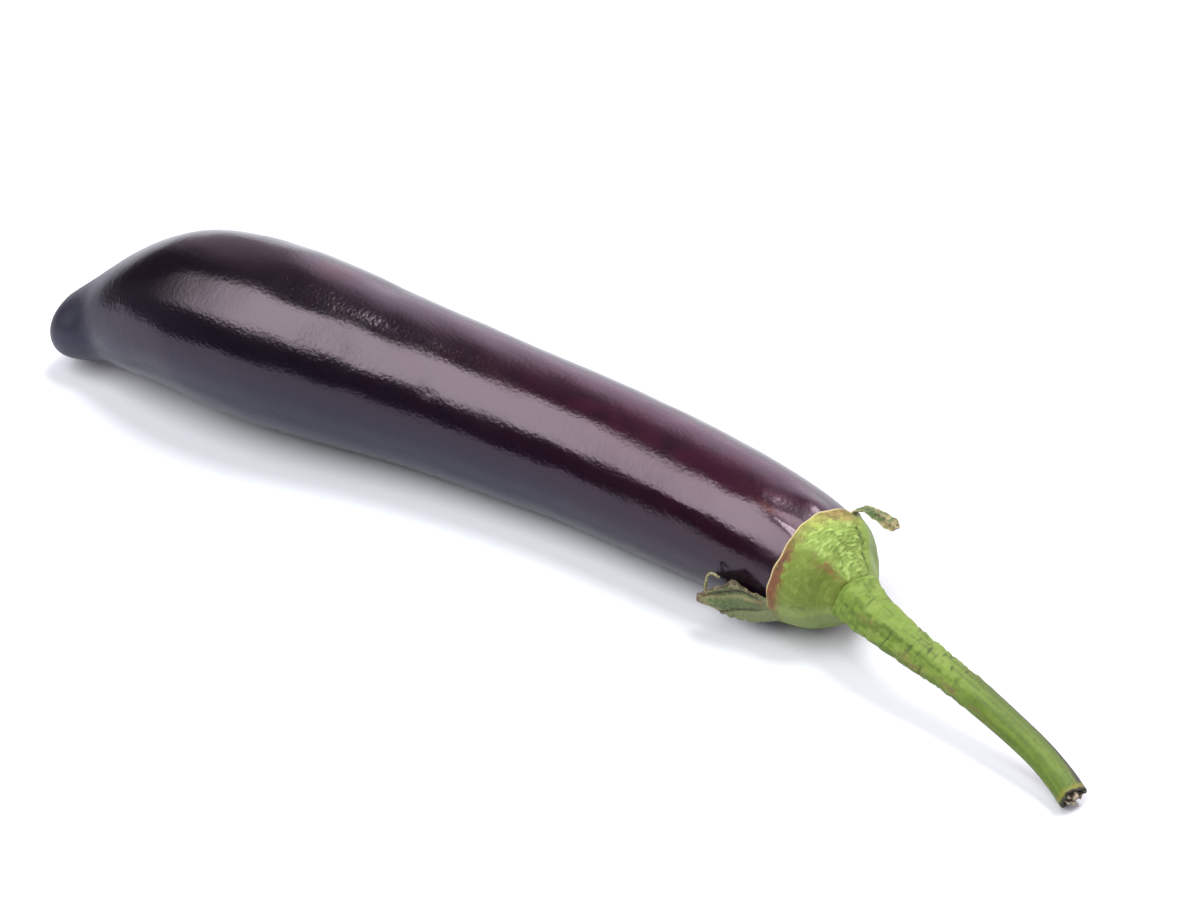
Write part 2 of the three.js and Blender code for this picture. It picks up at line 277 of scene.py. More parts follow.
def tinted(tree, colour, tints):
    """Lays each tint over the colour, by the share in the mesh attribute that has the tint's name."""
    for area, tint in tints.items():
        share = put(tree, "ShaderNodeAttribute", out="Fac", attribute_name=area)
        colour = put(
            tree, "ShaderNodeMix", {0: share, 6: colour, 7: linear(tint)}, out=2, data_type="RGBA"
        )
    return colour


def scale_for(size):
    """The scale at which a texture's pattern repeats about every `size` mm on Object coordinates."""
    return 1000 / size


# Eggplant skin: a clear wax over cells full of dark purple juice. It reads as black enamel with wine red
# glowing through where it is thin, and the cells under the wax fray the edges of every reflection. The
# nose keeps a dull, bluish bloom, and a bluish tint low on the front side is a painted reflection of the
# table. Real cells are too fine to show, so they are drawn about 1 mm wide.
fruit_finish, tree, skin, place = finish_named("waxy eggplant skin")
colour = tinted(
    tree,
    linear("#0e080f"),
    {
        "wine": "#190611",
        "wine_back": "#290c1a",
        "blue_side": "#0d1026",
        "sunless": "#4a1c18",
        "bloom": "#1c1d27",
        "scar": "#5a4432",
    },
)
cloud = put(tree, "ShaderNodeTexNoise", {"Vector": place, "Scale": scale_for(30), "Detail": 4})
wax = put(tree, "ShaderNodeMapRange", {"Value": cloud, 1: 0.3, 2: 0.7, 3: 0.13, 4: 0.19})
scar = put(tree, "ShaderNodeAttribute", out="Fac", attribute_name="scar")
corky = put(tree, "ShaderNodeMix", {0: scar, 2: wax, 3: 0.7}, data_type="FLOAT")
dull = put(tree, "ShaderNodeAttribute", out="Fac", attribute_name="dull")
rough = put(tree, "ShaderNodeMix", {0: dull, 2: corky, 3: 0.5}, data_type="FLOAT")
blue_sheen = put(tree, "ShaderNodeAttribute", out="Fac", attribute_name="blue_sheen")
sheen = put(
    tree,
    "ShaderNodeMix",
    {0: blue_sheen, 6: linear("#ffe8f8"), 7: linear("#d6dcff")},
    out=2,
    data_type="RGBA",
)
cells = put(tree, "ShaderNodeTexNoise", {"Vector": place, "Scale": scale_for(1.1), "Detail": 3})
drawn = put(tree, "ShaderNodeMapping", {"Vector": place, "Scale": (1, 0.3, 0.3)})
stretch = put(tree, "ShaderNodeTexNoise", {"Vector": drawn, "Scale": scale_for(1.6), "Detail": 2})
pores = put(tree, "ShaderNodeTexVoronoi", {"Vector": place, "Scale": scale_for(7)}, feature="F1")
pore = put(tree, "ShaderNodeMapRange", {"Value": pores, 1: 0.0, 2: 0.09, 3: 1.0, 4: 0.0})
pitted = put(tree, "ShaderNodeBump", {"Height": pore, "Distance": 0.00004, "Strength": 0.7})
stretched = put(
    tree, "ShaderNodeBump", {"Height": stretch, "Distance": 0.00003, "Strength": 1.0, "Normal": pitted}
)
skin_bump = put(
    tree, "ShaderNodeBump", {"Height": cells, "Distance": 0.00007, "Strength": 1.0, "Normal": stretched}
)
set_inputs(
    tree,
    skin,
    {
        "Base Color": colour,
        "Roughness": rough,
        "IOR": 1.5,
        "Specular Tint": sheen,
        "Normal": skin_bump,
    },
)
fruit.data.materials.append(fruit_finish)
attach(fruit, "root")
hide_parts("fruit")

# ---- Calyx ----
# The leathery cap that the flower's green cup has grown into. It sits tight on the fruit's shoulder with
# five ribs that run up into the stem, and its rim has dried brown behind a thin pale edge.

fit_gap = 0.3  # between the calyx's lining and the fruit
rim_reach = 26.6  # from the fruit's stem-end pole to the rim, along the skin
rim_lobes = (  # angle, added reach, half width and sharpness of each departure from a plain rim
    (55, -4.5, 40, 1.3),
    (266.3, 6, 30, 1.2),
    (338.3, 18, 33, 1.3),
)
rim_wall, dome_wall, seat_wall = 1.0, 1.5, 5.5  # thickness at the rim, over the dome, under the stem
lip_round = 0.45  # how far the rim's rounded edge stands out
rib_height = 1.6
flat_angle, flat_reach, flat_depth = 38, 9, 0.9  # where the dome is flatter, and by how much
flat_half_turn, flat_half_run = 38, 7
seat = np.array((94.9, -3.2, 20.0))  # the middle of the flat on which the stem stands
seat_normal = unit(np.array((102.7, -7.1, 19.7)) - seat)

half_shares = 1 - np.linspace(0, 0.5, 2001)
half_skin = fruit_point(half_shares, 0)
half_reaches = np.concatenate([[0], np.cumsum(np.linalg.norm(np.diff(half_skin, axis=0), axis=-1))])


def skin_point(reach, angle, proud):
    """A point over the fruit's skin, by its reach along the skin from the stem-end pole."""
    return fruit_point(np.interp(reach, half_reaches, half_shares), angle, proud)


def rib_share(angle):
    """1 on a rib and 0 half way between two ribs."""
    turns = (angle - first_rib) * rib_count / 360
    return np.abs(turns - np.floor(turns) - 0.5) * 2


def rim_at(angle):
    """The rim's reach: a plain ring with a notch and two lobes, each a falling power of its distance,
    and a slight waver."""
    reach = rim_reach + 0.25 * np.sin(np.radians(7 * angle)) + 0.2 * np.sin(np.radians(17 * angle + 40))
    for middle, added, half_width, power in rim_lobes:
        reach = reach + added * np.maximum(1 - np.abs(turned(angle, middle)) / half_width, 0) ** power
    return reach


def calyx_wall(reach, angle):
    """The wall's thickness: thick round the stem, thin at the rim, with a ridge over each rib."""
    dome = seat_wall + (dome_wall - seat_wall) * smooth(reach, 4, 12)
    wall = dome + (rim_wall - dome) * smooth(reach, 16, rim_reach - 4)
    window = smooth(reach, 3, 11) * (1 - smooth(reach, 14, rim_reach + 8))
    flat = on_side(angle, flat_angle, flat_half_turn) * bump(reach, flat_reach, flat_half_run)
    return wall + rib_height * rib_share(angle) ** 1.5 * window - flat_depth * flat


# The rings run from the pole along the lining to the rim, round its lip, and back over the outside.
calyx_side_count = 400
calyx_angle = np.arange(calyx_side_count)[None] * (360 / calyx_side_count)
lining_share = np.linspace(0.04, 1, 26)[:, None]
lip_turn = np.linspace(0, math.pi, 9)[1:-1, None]
outer_share = np.linspace(1, 0.03, 112)[:, None]
at_lining, at_outer = np.zeros_like(lining_share), np.ones_like(outer_share)
rim = rim_at(calyx_angle)
reach = rim * np.concatenate([lining_share, np.ones_like(lip_turn), outer_share])
wall = calyx_wall(reach, calyx_angle)
lift = np.concatenate([at_lining, (1 - np.cos(lip_turn)) / 2, at_outer])
reach = reach + np.concatenate([at_lining, lip_round * np.sin(lip_turn), 0 * at_outer])
calyx_bare = skin_point(reach, calyx_angle, fit_gap + wall * lift)
outside = np.concatenate([at_lining, np.sin(lip_turn / 2), at_outer])
rim_mm = np.where(outside > 0.99, rim - reach, -0.3) + 0 * wall  # how far in from the rim
past_facet = turned(calyx_angle, 86)
upper_facet = smooth(past_facet, -28, -22) * (1 - smooth(past_facet, 28, 38))
# Puckers: the skin between the two upper ribs has shrunk into creases that run round the cap. Each
# crease follows a zero line of a ripple field, which is shorter towards the stem than round it.
pucker_place = np.concatenate([reach[..., None] * 1.15, calyx_bare[..., 1:] * 0.55], -1)
pucker_field = ripples(pucker_place, 2.0, 21) + 0.5 * ripples(pucker_place, 1.0, 22)
creases = np.clip(1 - 1.5 * np.abs(pucker_field), 0, 1) ** 2
in_facet = upper_facet * smooth(reach, 4, 8) * smooth(rim_mm, 0.6, 3)
# Three lines run from the stem towards the rim: a wandering seam that is sunk in, the crest of one rib,
# and a faint line low on the side.
seam_depth = 0.5
seam_wander = 1.6 * np.sin(reach * 1.1) + 0.9 * np.sin(reach * 2.9 + 1)
seam = bump(turned(calyx_angle, 60) + seam_wander, 0, 2.6) * smooth(reach, 4, 8) * smooth(rim_mm, 2, 6)
rib_line = on_side(calyx_angle, 122.3, 3.2) * smooth(reach, 9, 12) * smooth(rim_mm, 5, 9)
low_line = on_side(calyx_angle, 182, 3) * smooth(reach, 7, 12) * smooth(rim_mm, 1, 4)
puckers = 0.055 * pucker_field - 0.09 * creases + 0.05 * ripples(pucker_place, 0.9, 24)
relief = in_facet * puckers - seam_depth * seam
relief += (1 - upper_facet) * 0.035 * pucker_field * smooth(reach, 4, 9) * smooth(rim_mm, 0.3, 3)
relief += 0.3 * bump(rim_mm, 1.2, 1.4) * ripples(calyx_bare, 7, 30)
calyx_rings = skin_point(reach, calyx_angle, fit_gap + (wall + relief * outside) * lift)
past_seat = ((calyx_rings - seat) * seat_normal).sum(-1)
calyx_rings = calyx_rings - np.maximum(past_seat, 0)[..., None] * seat_normal
mottle = ripples(calyx_bare, 3.2, 31) + 0.6 * ripples(calyx_bare, 1.3, 32)
# The down lies along the way from stem to rim, so its pattern is drawn on a cylinder opened out along it.
calyx_turn = np.radians(calyx_angle) + 0 * reach
lie_radius, lie_draw = 14, 0.2
calyx_lie = np.stack(
    [lie_radius * np.cos(calyx_turn), lie_radius * np.sin(calyx_turn), lie_draw * reach], -1
)
# How strongly the rim has browned on each side of the cap, and the rust spots.
rim_browning = (
    on_side(calyx_angle, 158, 38)
    + 0.5 * on_side(calyx_angle, 75, 22)
    + 0.5 * on_side(calyx_angle, 330, 60)
)
rust = 0.6 * on_side(calyx_angle, 68, 9) * bump(rim_mm, 3.5, 2.2)
rust = rust + 0.9 * on_side(calyx_angle, 126, 6) * bump(reach, 13, 4)
rust = rust + on_side(calyx_angle, 190, 7) * bump(rim_mm, 2.2, 1.8)
rust = rust + on_side(calyx_angle, 173, 9) * bump(rim_mm, 2.6, 2.2)
calyx = closed_skin(
    "calyx_cap",
    calyx_rings,
    # painted shade: the left side of the cap is a darker green
    left=smooth(calyx_angle, 121, 129) * (1 - smooth(calyx_angle, 176, 184)) + 0 * reach,
    under=smooth(calyx_angle, 177, 187) * (1 - smooth(calyx_angle, 290, 310)) + 0 * reach,
    # painted highlight on the puckers' crests, plus a faint random mottle
    pale_bump=np.clip(in_facet * smooth(pucker_field, 0.2, 1.6) + 0.2 * smooth(mottle, 0.3, 1.5), 0, 1),
    sunlit=on_side(calyx_angle, 84, 24) * bump(rim_mm, 1.0, 3.6) * smooth(mottle, -2.2, 0.4),
    # painted shade down in the creases of the puckers
    hollow=np.clip(creases * (0.1 + 0.7 * in_facet) * smooth(-mottle, -0.8, 1.2) * outside, 0, 1),
    # painted shade along the sunk seam, and dark lines on one rib's crest and low on the side
    crease=np.clip(seam + 0.5 * rib_line + 0.6 * low_line, 0, 1) * smooth(mottle, -1.6, 0.6) * outside,
    rust=np.clip(rust, 0, 1) * smooth(mottle, -0.9, 0.5) * outside,
    brown_rim=np.clip(1.2 * rim_browning, 0, 1) * (1 - smooth(rim_mm + 0.8 * mottle, 2.2, 4.8)) * outside,
    dark_rim=np.clip(rim_browning, 0, 1)
    * smooth(ripples(calyx_bare, 2.4, 33), 0.2, 1.0)
    * bump(rim_mm, 1.4, 1.1)
    * outside,
    cut_edge=(1 - smooth(rim_mm, 0.05, 0.35)) + 0 * reach,
    lie=calyx_lie,
)


def flecked(tree, colour, pattern, low, high, most, tint):
    """Lays a tint over the colour where the pattern rises from low to high, up to the share `most`."""
    share = put(tree, "ShaderNodeMapRange", {"Value": pattern, 1: low, 2: high, 3: 0.0, 4: most})
    return put(
        tree, "ShaderNodeMix", {0: share, 6: colour, 7: linear(tint)}, out=2, data_type="RGBA"
    )


# Calyx skin: matt, leathery, with a fine down. It reads as puckered apple green, rust brown where it has
# dried along the rim, and cream on the rim's cut edge. Painted shade darkens its left side, the creases
# of its puckers and its sunk seam, and painted highlights pale the puckers' crests. The down is finer
# than the eye can part, so all that it does is to dull the shine.
calyx_finish, tree, skin, place = finish_named("leathery calyx skin")
run = put(tree, "ShaderNodeAttribute", out="Vector", attribute_name="lie")
down_per_mm = 1250
down = put(tree, "ShaderNodeTexNoise", {"Vector": run, "Scale": down_per_mm, "Detail": 4})
colour = tinted(
    tree,
    linear("#738b36"),
    {
        "left": "#647524",
        "under": "#758443",
        "pale_bump": "#92ab57",
        "sunlit": "#aeb656",
        "hollow": "#3d501c",
        "crease": "#3d4f20",
        "rust": "#845b35",
        "brown_rim": "#6e3d27",
        "dark_rim": "#4e2a1c",
        "cut_edge": "#bfae80",
    },
)
colour = flecked(tree, colour, down, 0.48, 0.75, 0.3, "#93a359")
calyx_bump = put(tree, "ShaderNodeBump", {"Height": down, "Distance": 0.00016, "Strength": 0.6})
set_inputs(tree, skin, {"Base Color": colour, "Roughness": 0.5, "IOR": 1.42, "Normal": calyx_bump})
calyx.data.materials.append(calyx_finish)
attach(calyx, "root")
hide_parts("calyx")

# ---- Dried lobes ----
# Two of the calyx's five lobes have dried, shrunk and lifted off the skin. Each is a thin leaf with a
# browned, frilled margin: one rolls outward at the top, the other hangs folded beside the neck.

blade_wall = 0.8  # thickness of a dried lobe
curled_edges = np.array(  # reach, angle and height above the skin of the two edges, root to tip
    [
        (19.0, 44, 1.0, 19.0, 57, 1.0),
        (22.6, 43, 2.2, 22.0, 56, 1.5),
        (22.0, 44, 5.6, 21.0, 52, 3.8),
        (18.9, 42, 8.6, 18.0, 45, 5.4),
        (16.2, 40, 11.4, 15.6, 42, 6.9),
        (14.9, 39, 11.0, 14.6, 40, 8.8),
    ]
)
folded_edges = np.array(  # the same for the lobe beside the neck
    [
        (17.0, 184, 1.3, 17.0, 212, 1.3),
        (24.0, 184, 1.5, 24.0, 213, 2.0),
        (31.0, 181, 1.8, 31.0, 215, 4.2),
        (39.0, 176, 2.8, 40.0, 216, 5.6),
        (45.0, 183, 4.4, 45.5, 211, 6.2),
        (51.5, 197, 6.0, 51.5, 202, 6.8),
    ]
)


def through(points, u):
    """A Catmull-Rom curve through the points, at shares u of its run of points."""
    ends = np.concatenate([[2 * points[0] - points[1]], points, [2 * points[-1] - points[-2]]])
    span = np.clip(u, 0, 1) * (len(points) - 1)
    i = np.minimum(span.astype(int), len(points) - 2)
    f = (span - i)[..., None]
    a, b, c, d = (ends[i + k] for k in range(4))
    return (
        2 * b + (c - a) * f + (2 * a - 5 * b + 4 * c - d) * f**2 + (3 * b - a - 3 * c + d) * f**3
    ) / 2


def blade(name, edges, folds, frill, seed, areas):
    """A leaf between two edge curves: across it v runs from edge to edge and back over the other face,
    with the wall rounded at both edges. `folds` gives the height of the pleats over the blade at (u, v),
    and a frill of ripples grows towards the margins. `areas` gives the shares of each tint at (u, v) and
    a mottle."""
    row_count, side_count = 110, 120
    u = np.linspace(0, 1, row_count)[:, None]
    around = np.arange(side_count)[None] * 2 * math.pi / side_count
    v = (1 - np.sign(np.cos(around)) * np.abs(np.cos(around)) ** 0.8) / 2
    upper = through(skin_point(*edges[:, :3].T), u[:, 0])[:, None]
    lower = through(skin_point(*edges[:, 3:].T), u[:, 0])[:, None]
    across = lower - upper
    along = np.gradient(upper[:, 0], axis=0)[:, None] + np.gradient(lower[:, 0], axis=0)[:, None]
    out = unit(np.cross(along, across))
    middle = upper + across * v[..., None]
    margin = np.maximum(np.abs(2 * v - 1) ** 4, smooth(u, 0.88, 1)) * smooth(u, 0.25, 0.45)
    curl = frill * margin * ripples(middle, 3.4, seed) + 0.07 * ripples(middle, 1.3, seed + 1)
    wall = blade_wall / 2 * np.sin(around)
    rings = middle + out * (folds(u, v) + curl + wall)[..., None]
    sway = frill * 0.09 * margin * ripples(middle, 2.6, seed + 2) * (2 * v - 1)
    rings = rings + across * sway[..., None]
    mottle = ripples(middle, 1.9, seed + 3) + 0.5 * ripples(middle, 0.9, seed + 4)
    shares = {area: np.clip(share, 0, 1)[:, ::-1] for area, share in areas(u, v, mottle).items()}
    return closed_skin(name, rings[:, ::-1], **shares)


def curled_areas(u, v, mottle):
    """A reddish root, a green middle, and a tip and margins dried to straw with brown specks."""
    edge = np.abs(2 * v - 1)
    return {
        "greener": smooth(u, 0.15, 0.3) * (1 - smooth(u + 0.1 * mottle, 0.6, 0.75)),
        "straw": smooth(u + 0.12 * mottle, 0.58, 0.8) + 0.8 * smooth(edge + 0.06 * mottle, 0.72, 0.9),
        "red_brown": (1 - smooth(u + 0.06 * mottle, 0.12, 0.3)) * 0.9 + 0 * v,
        "brown": smooth(mottle, 0.9, 1.5) * smooth(u, 0.4, 0.7) + 0 * v,
        # painted shade along the middle channel
        "painted_fold_shade": bump(v, 0.5, 0.05) * smooth(u, 0.2, 0.4) * 0.6,
    }


def fold_lines(u):
    """Where the folded lobe's two creases run across it: the upper one sinks slowly from the root to the
    tip, and the lower one runs out to the lower edge."""
    return 0.2 + 0.13 * smooth(u, 0.4, 0.75), np.minimum(0.52 + 1.0 * (u - 0.35), 0.97)


def folded_areas(u, v, mottle):
    """Olive above the upper crease, green between the two and pale below them, with painted shade in the
    creases and along the lower edge towards the tip, a straw and brown upper edge, a straw roll at the lower
    edge towards the tip, and a brown tip."""
    upper_line, lower_line = fold_lines(u)
    dried = smooth(u, 0.28, 0.42)
    return {
        "greener": smooth(v - upper_line, 0, 0.06) * (1 - smooth(v - lower_line, -0.05, 0)) * dried * 0.9,
        "pale": smooth(v - lower_line, -0.02, 0.04),
        "straw": bump(v + 0.03 * mottle, 0.09, 0.05) * dried
        + bump(v - upper_line, 0.09, 0.03) * dried * 0.7
        + bump(v, 0.9, 0.09) * smooth(u, 0.66, 0.76)
        + smooth(u + 0.04 * mottle, 0.84, 0.9) * 0.6,
        "red_brown": smooth(u + 0.03 * mottle, 0.9, 0.96) + bump(u, 0.36, 0.06) * bump(v, 0.25, 0.12) * 0.7,
        "brown": (1 - smooth(v + 0.04 * mottle, 0.02, 0.08)) * dried
        + 0.5 * smooth(mottle, 1.0, 1.6) * dried * (1 - smooth(v, 0.4, 0.6)),
        # painted shade in the two creases and along the lower edge towards the tip
        "painted_fold_shade": bump(v - upper_line, 0, 0.028) * smooth(u, 0.34, 0.44) * (1 - smooth(u, 0.9, 0.97))
        + bump(v - lower_line, 0, 0.025) * smooth(u, 0.28, 0.4) * (1 - smooth(u, 0.84, 0.92))
        + smooth(v, 0.95, 0.985) * smooth(u, 0.6, 0.7),
    }


def curled_folds(u, v):
    """One shallow channel along the middle."""
    return 0.35 * np.sin(3 * math.pi * v) * smooth(u, 0.3, 0.6)


def folded_folds(u, v):
    """An upper edge that curls out, a sharp valley along each crease and a soft ridge between them."""
    upper_line, lower_line = fold_lines(u)
    valleys = 0.9 * bump(v - upper_line, 0, 0.07) + 0.6 * bump(v - lower_line, 0, 0.05)
    ridges = 0.8 * bump(v, 0.03, 0.1) + 0.6 * bump(v, (upper_line + lower_line) / 2, 0.16)
    return (ridges - valleys) * smooth(u, 0.28, 0.5) * (1 - smooth(u, 0.85, 1))


curled = blade("curled_lobe", curled_edges, curled_folds, frill=0.3, seed=41, areas=curled_areas)
folded = blade("folded_lobe", folded_edges, folded_folds, frill=0.22, seed=51, areas=folded_areas)

thread_radius = 0.4
thread_row_count, thread_side_count = 70, 16
thread_route = np.array(  # reach, angle and height above the skin, from the lobe's tip on
    [
        (48.5, 195, 5.2),
        (48.8, 190, 5.1),
        (48.8, 184, 4.5),
        (48.7, 180, 3.7),
        (47.6, 178, 3.3),
        (45.3, 180, 2.8),
    ]
)


def swept(route, u, angle, radius):
    """Rings of a radius about a curve through the route's points: the first side lies level, to the
    left of the way along, and the second stands above it. It has no way along for u outside 0 to 1."""
    step = 1e-3
    along = unit(through(route, u + step) - through(route, u - step))
    side = unit(np.cross((0, 0, 1), along))
    top = np.cross(along, side)
    turn = np.radians(angle)[..., None]
    return through(route, u) + radius[..., None] * (side * np.cos(turn) + top * np.sin(turn))


thread_points = skin_point(*thread_route.T)
thread_u, thread_angle = np.meshgrid(
    np.linspace(0, 1, thread_row_count),
    np.arange(thread_side_count) * (360 / thread_side_count),
    indexing="ij",
)
thread_knots = ripples(np.stack([40 * thread_u, thread_angle / 60, 0 * thread_u], -1), 3, 61)
knotted_radius = thread_radius * (1 - 0.15 * thread_u) + 0.08 * thread_knots
thread = closed_skin(
    "dried_thread",
    swept(thread_points, thread_u, thread_angle, knotted_radius),
    straw=0.8 - 0.5 * smooth(thread_knots, 0.4, 1.2),
    brown=0.7 * smooth(-thread_knots, 0.4, 1.4),
)

# Dried calyx: the same leaf gone papery. Its middle keeps a dull green, and its margins and tip are
# straw and brown with painted shade in the folds, so each lobe looks outlined. Its fibres are drawn 0.9 mm
# wide, coarser than they are, so that they show.
lobe_finish, tree, skin, place = finish_named("dried calyx lobe")
fibre = put(tree, "ShaderNodeTexNoise", {"Vector": place, "Scale": scale_for(0.9), "Detail": 4})
colour = tinted(
    tree,
    linear("#58643d"),
    {
        "greener": "#4b5f33",
        "pale": "#6b764c",
        "straw": "#918762",
        "red_brown": "#5b4531",
        "brown": "#463524",
        "painted_fold_shade": "#251b10",
    },
)
colour = flecked(tree, colour, fibre, 0.45, 0.7, 0.5, "#7f7a55")
lobe_bump = put(tree, "ShaderNodeBump", {"Height": fibre, "Distance": 0.0003, "Strength": 0.8})
set_inputs(tree, skin, {"Base Color": colour, "Roughness": 0.7, "Normal": lobe_bump})
for piece in (curled, folded, thread):
    piece.data.materials.append(lobe_finish)
    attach(piece, "root")
    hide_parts("calyx")

# ---- Stem ----
# The woody stalk that the fruit hung by, broken off the plant. Five ridges carry on from the calyx and
# fade, its first half is crossed by fine cracks, and one side has weathered to a dark purple brown.

stem_route = np.array(  # the stem's middle line, from the calyx to the break
    [
        (94.9, -3.2, 20.0),
        (102.7, -7.1, 19.7),
        (113.9, -10.3, 18.6),
        (126.1, -12.6, 16.8),
        (138.1, -14.9, 14.6),
        (150.0, -17.6, 12.0),
        (160.7, -20.2, 9.1),
        (168.8, -22.9, 6.2),
        (174.1, -25.6, 4.35),
    ]
)
stem_radii = np.array([7.3, 6.4, 5.4, 4.8, 4.5, 4.25, 4.15, 4.15, 4.15])  # at the same places
stem_run = 87  # length along the middle line
stem_sunk = 0.012  # share of its length by which its rings start too early, inside the calyx
stem_ridge = 0.45
crack_sunk = 0.3
collar_height = 0.7  # of the swollen ring where the stem meets the calyx
bore_radius, bore_depth = 2.9, 2.4  # the bore narrows to the pith's radius at its bottom
pith_radius = 2.6


def crack_depth(length, angle, seed, count):
    """Short cracks across the stem, each a narrow dip along its length and a bell round it. They come
    closest together a third of the way along, on the side that faces up."""
    rng = np.random.default_rng(seed)
    depth = 0 * (length + angle)
    for _ in range(count):
        middle, facing = rng.normal(29, 10), rng.normal(95, 55)
        half_turn, width = rng.uniform(9, 24), rng.uniform(0.14, 0.26)
        slant = rng.uniform(-0.03, 0.03) * turned(angle, facing)
        dip = bump(length - slant, middle, width) * on_side(angle, facing, half_turn)
        depth = depth + rng.uniform(0.5, 1) * dip
    return np.minimum(depth, 1)


stem_ring_count, stem_side_count = 380, 120
stem_u = np.linspace(-stem_sunk, 1, stem_ring_count)[:, None]
stem_angle = np.arange(stem_side_count)[None] * (360 / stem_side_count)
stem_length = stem_run * stem_u
stem_span = np.clip(stem_u, 0, 1) * (len(stem_radii) - 1)
stem_mean = np.interp(stem_span, np.arange(len(stem_radii)), stem_radii)
evened_rings = 29  # the radius is averaged over this many rings, so that it has no steps
kernel = np.ones(evened_rings) / evened_rings
padded_mean = np.pad(stem_mean[:, 0], evened_rings // 2, mode="edge")
stem_mean = np.convolve(padded_mean, kernel, mode="valid")[:, None]
ridges = stem_ridge * (2 * rib_share(stem_angle) - 1) * (1 - smooth(stem_u, 0.1, 0.7))
# Patterns on the bark are drawn on a straight stem of the same length, 5 mm in radius.
lie_turn = np.radians(stem_angle) + 0 * stem_u
lie = np.stack([5 * np.cos(lie_turn), 5 * np.sin(lie_turn), stem_length + 0 * stem_angle], -1)
rough_half = 1 - smooth(stem_u, 0.44, 0.56) + 0 * stem_angle
cracks = crack_depth(stem_length, stem_angle, seed=74, count=26) * rough_half
swellings = np.sin(2 * math.pi * stem_length / 4.6 + 1.5 * ripples(lie, 14, 76))
stem_radius = stem_mean + ridges - crack_sunk * cracks
stem_radius += rough_half * (0.1 * swellings + 0.12 * ripples(lie, 7, 78))
stem_radius += rough_half * (0.07 * ripples(lie, 2.2, 73) + 0.035 * ripples(lie * (1, 1, 1.6), 1.2, 83))
stem_radius += 0.025 * ripples(lie * (1, 1, 0.06), 1.6, 75)
stem_radius += collar_height * bump(stem_length, 0, 1.6)
# Known fault: the rings before the middle line's start, and the point that closes them, aren't numbers,
# because swept() has no way along there. The calyx hides the gap that they leave.
stem_outer = swept(stem_route, stem_u + 0 * stem_angle, stem_angle + 0 * stem_u, stem_radius)
# The break is ragged, and its edge turns in and down to the bore that holds the pith.
end_along = unit(stem_route[-1] - stem_route[-2])
ragged = 0.35 * (np.sin(np.radians(2 * stem_angle) + 0.6) + 0.5 * np.sin(np.radians(5 * stem_angle)))
ragged = ragged + 0.12 * np.sin(np.radians(13 * stem_angle))
stem_outer = stem_outer + (smooth(stem_u, 0.97, 1) * ragged)[..., None] * end_along
lip = [  # radius and height of each ring from the edge of the break down the bore
    (3.95, 0.12),
    (3.6, 0.2),
    (3.2, 0.1),
    (bore_radius, -0.3),
    (2.75, -1.2),
    (pith_radius, -bore_depth),
]
stem_end = [
    swept(stem_route, np.ones_like(stem_angle), stem_angle, radius + 0 * stem_angle)
    + (depth + ragged * max(0, 1 + depth / bore_depth))[..., None] * end_along
    for radius, depth in lip
]
mottle = ripples(lie * (1, 1, 0.7), 4.5, 79) + 0.6 * ripples(lie, 1.8, 80)
lengthwise = ripples(lie * (1, 1, 0.05), 1.7, 77)
towards_end = smooth(stem_u, 0.5, 0.97)
stains = (  # distance along, angle, half length, half turn and strength of each brown stain
    (13.5, 150, 3.0, 14, 0.6),
    (27, 175, 3.5, 16, 0.7),
    (42, 168, 6.0, 12, 0.9),
    (44, 60, 4.0, 14, 0.5),
)
stained = sum(
    strength * bump(stem_length, middle, half_length) * on_side(stem_angle, facing, half_turn)
    for middle, facing, half_length, half_turn, strength in stains
)
past_edge = turned(stem_angle, 40)  # how far in from the outline seen above and in front
dark_turn = 13 + 16 * towards_end
areas = {
    "rough": rough_half,
    "lighter": smooth(lengthwise + 0.5 * mottle, 0.1, 1.4) * 0.6,
    "darker": smooth(-lengthwise - 0.5 * mottle, 0.3, 1.5) * 0.6,
    "rough_pale": rough_half * smooth(mottle, -0.2, 1.4) * 0.4,
    "stained": np.clip(stained, 0, 1) * smooth(mottle, -0.9, 0.7),
    "pale_line": bump(past_edge, dark_turn + 10, 4) * towards_end * 0.6,
    # painted shade: the top of the stem's second half is a darker green, against the lamp's light
    "painted_top_shade": on_side(stem_angle, 66, 26) * smooth(stem_u, 0.35, 0.5) * 0.9,
    "crack": cracks,
    # painted shade on the stem's low side
    "painted_low_shade": on_side(stem_angle, 214, 15) * 0.6 * smooth(stem_u, 0.1, 0.3),
    "dark_side": smooth(past_edge, -45, -15)
    * (1 - smooth(past_edge, dark_turn - 5, dark_turn + 3))
    * smooth(stem_u, 0.42, 0.56),
    "olive_end": smooth(stem_u + 0.003 * mottle, 0.955, 0.975) * 0.8,
    "dark_ring": smooth(stem_u, 0.988, 0.996) + 0 * stem_angle,
}
lip_shape = np.ones((len(lip), stem_side_count))
at_lip = {"dark_ring": 1.0, "dark_side": 0.4}
stem = closed_skin(
    "stem_stalk",
    np.concatenate([stem_outer] + stem_end),
    lie=np.concatenate([lie] + [lie[-1:]] * len(lip)),
    **{
        area: np.concatenate([np.clip(share, 0, 1), at_lip.get(area, 0.0) * lip_shape])
        for area, share in areas.items()
    },
)

